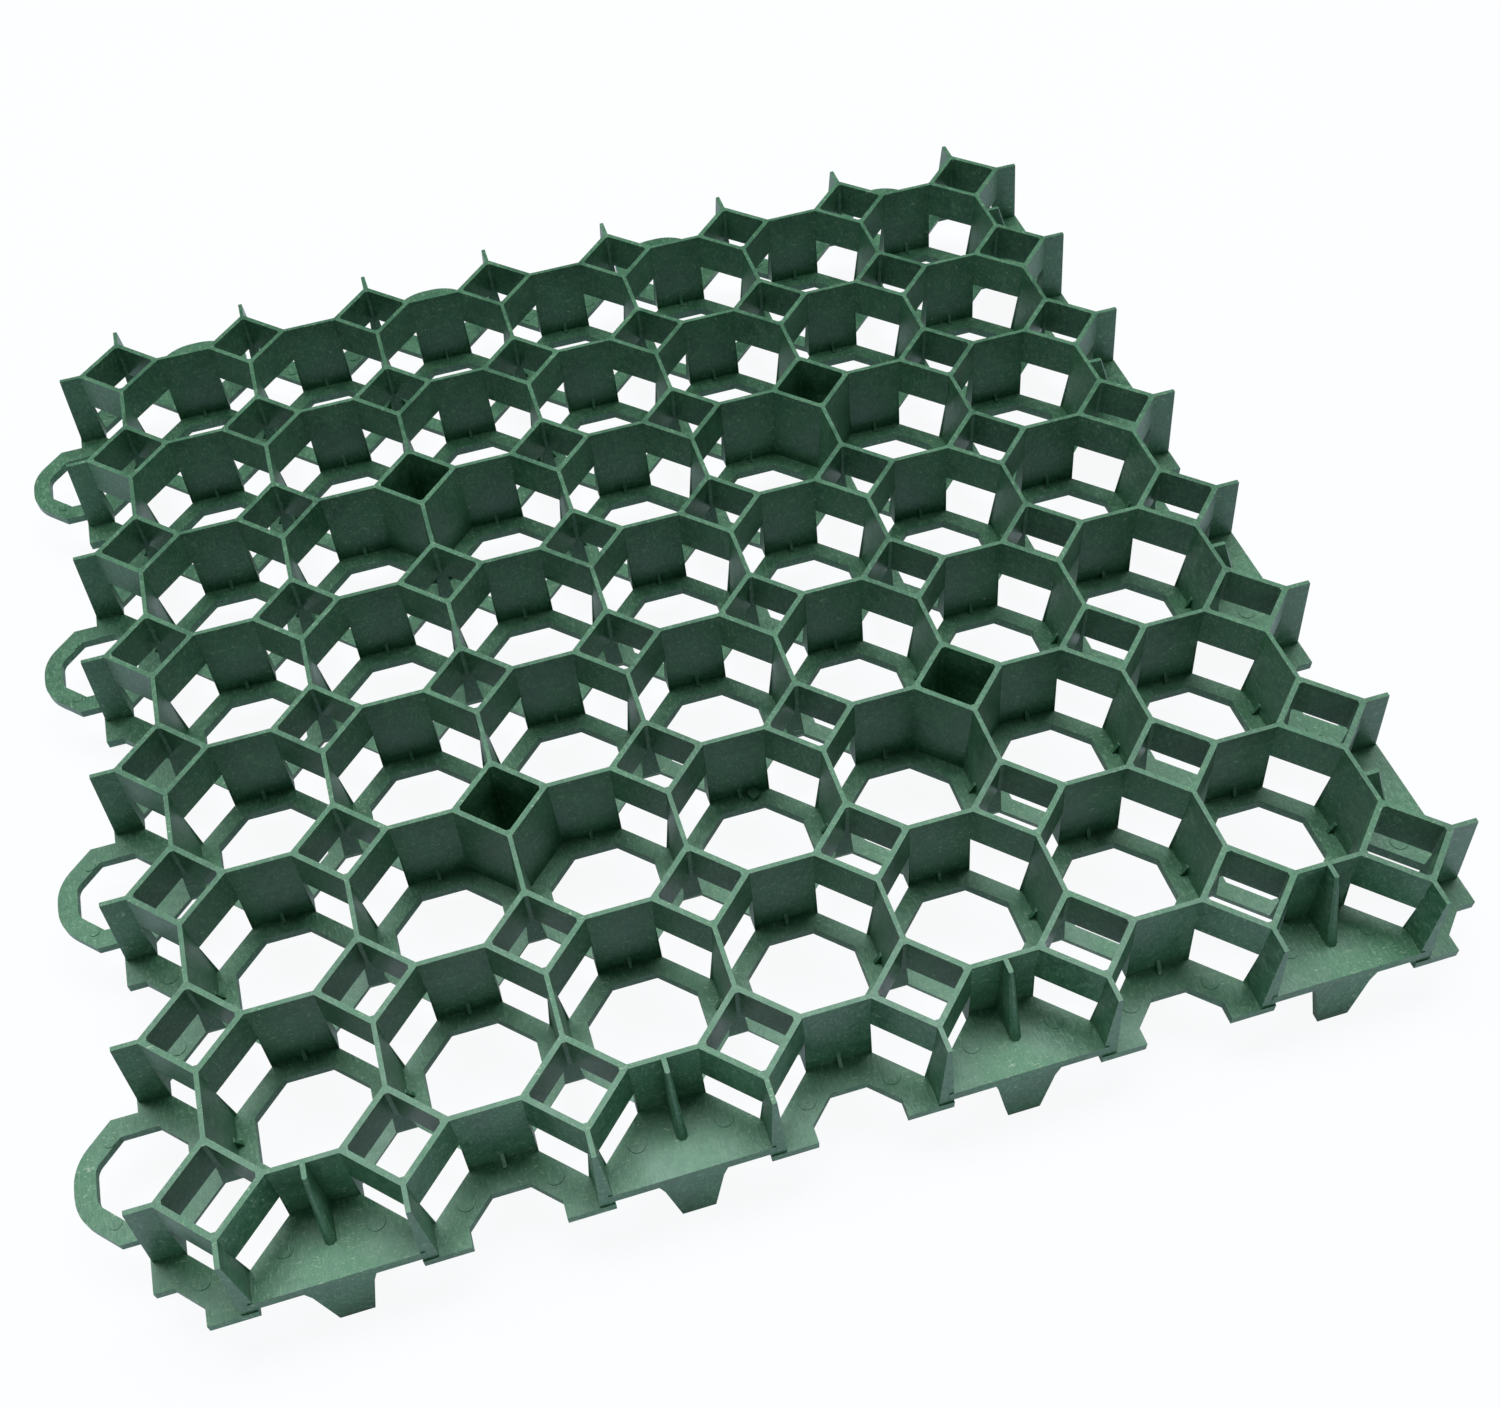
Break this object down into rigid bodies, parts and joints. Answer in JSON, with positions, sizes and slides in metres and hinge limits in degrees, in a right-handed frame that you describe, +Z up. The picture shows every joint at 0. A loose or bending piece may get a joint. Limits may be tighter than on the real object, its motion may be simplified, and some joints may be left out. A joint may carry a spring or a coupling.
{
  "type": "grass paver grid",
  "caption": "Square plastic ground grid of open octagonal and small square cells, with loops on two edges and tongues on the other two to link it to its neighbours.",
  "frame": {"origin": "middle of the whole outline, on the floor that the tips of the tongues and spikes stand on", "axes": "+Z up out of the ground, +X along the front edge to the edge with tongues, +Y to the back edge with loops"},
  "size_m": [0.5256, 0.5256, 0.06],
  "materials": {
    "green_plastic": "moulded recycled plastic, satin, mottled bottle green"
  },
  "bodies": {
    "root": {"paver_grid": "green_plastic"}
  },
  "joints": []
}
